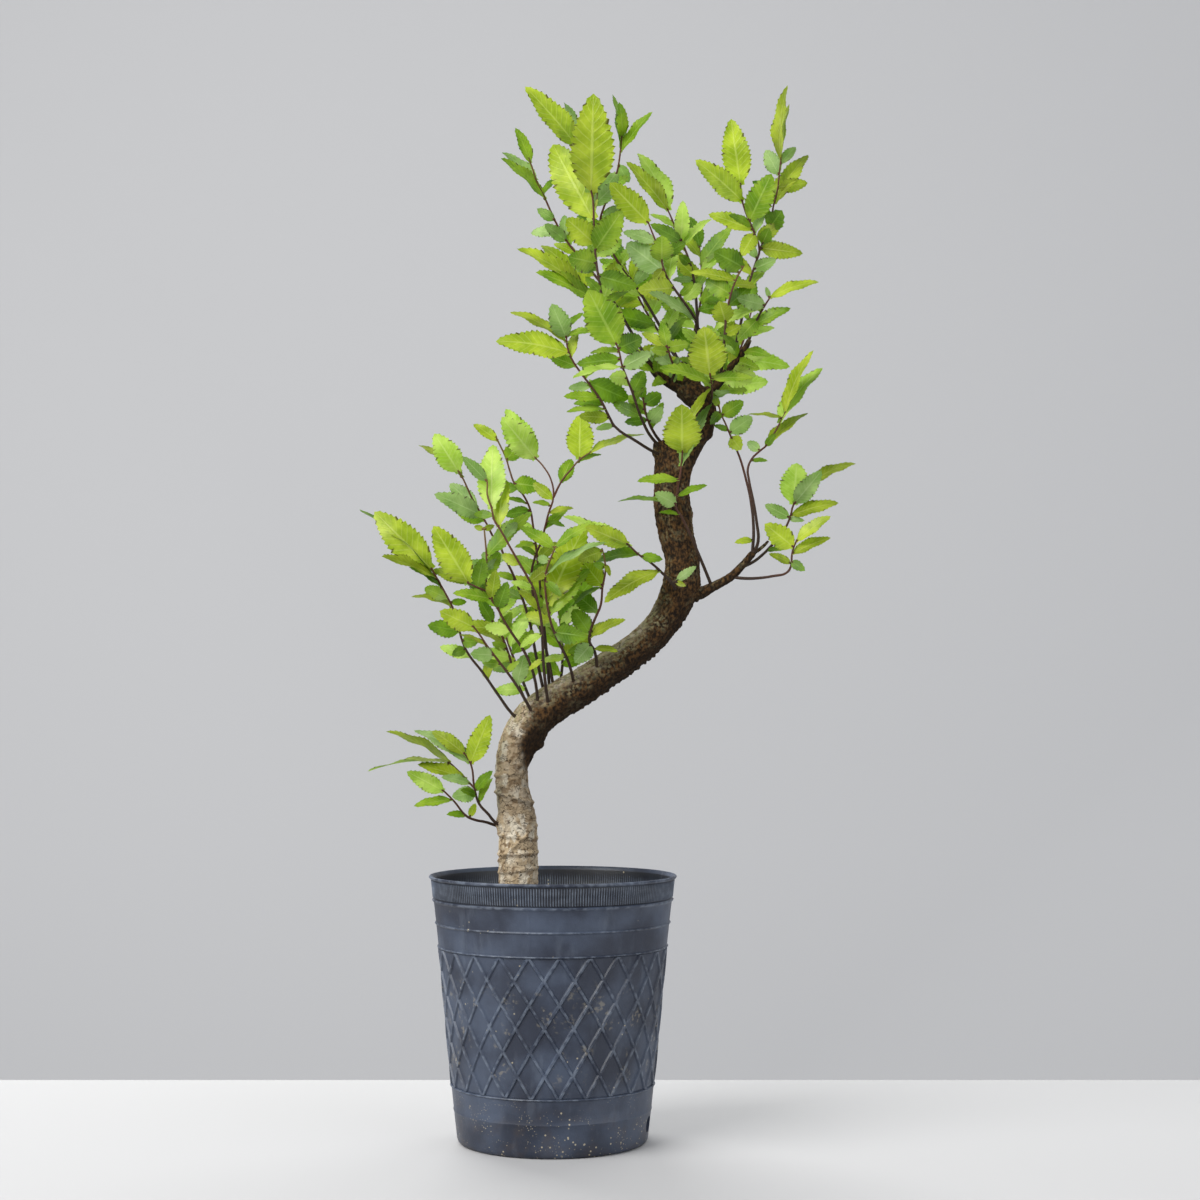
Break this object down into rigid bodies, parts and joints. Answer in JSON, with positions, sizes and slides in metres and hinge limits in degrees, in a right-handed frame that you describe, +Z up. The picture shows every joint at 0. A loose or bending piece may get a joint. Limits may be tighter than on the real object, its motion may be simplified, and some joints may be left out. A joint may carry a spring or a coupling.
{
  "type": "potted bonsai",
  "caption": "Chinese elm bonsai with an S-curved trunk and small saw-edged leaves, in a round ribbed plastic nursery pot with a raised diamond lattice; stands free.",
  "frame": {"origin": "centre of the pot's underside, where it stands", "axes": "+Z up along the pot's axis, -Y towards the viewer of the picture, +X to the picture's right"},
  "size_m": [0.2108, 0.1032, 0.4471],
  "materials": {
    "pot": "dark blue-grey moulded plastic, satin, with light scuffs on the lattice",
    "soil": "dry brown potting grit",
    "bark": "grey-brown flaking bark, paler low down",
    "leaf": "fresh green leaves, softly glossy above and pale beneath",
    "shaded_leaf": "darker green leaves at the back of the crown"
  },
  "bodies": {
    "root": {"branchlet": "leaf", "crown_back_centre": "shaded_leaf", "crown_back_left": "shaded_leaf", "crown_back_right": "shaded_leaf", "crown_centre_arch": "leaf", "crown_centre_left": "leaf", "crown_far_left": "leaf", "crown_front": "leaf", "crown_front_left": "leaf", "crown_left_fan": "leaf", "crown_left_low": "leaf", "crown_left_middle": "leaf", "crown_right_low": "leaf", "crown_right_middle": "leaf", "crown_right_top": "leaf", "crown_top_centre": "leaf", "crown_top_left": "leaf", "crown_wisp_left": "leaf", "front_of_trunk": "leaf", "left_back_high": "shaded_leaf", "left_back_low": "shaded_leaf", "left_centre": "leaf", "left_dark": "leaf", "left_fork": "leaf", "left_low_back": "shaded_leaf", "left_low_front": "leaf", "left_middle": "leaf", "left_outer": "leaf", "left_right_low": "leaf", "left_tall": "leaf", "left_top": "leaf", "low_sprig_lower": "leaf", "low_sprig_upper": "leaf", "pot": "pot", "right_low": "leaf", "right_middle": "leaf", "right_tall_left": "leaf", "right_tall_right": "leaf", "soil": "soil", "trunk": "bark"}
  },
  "joints": []
}
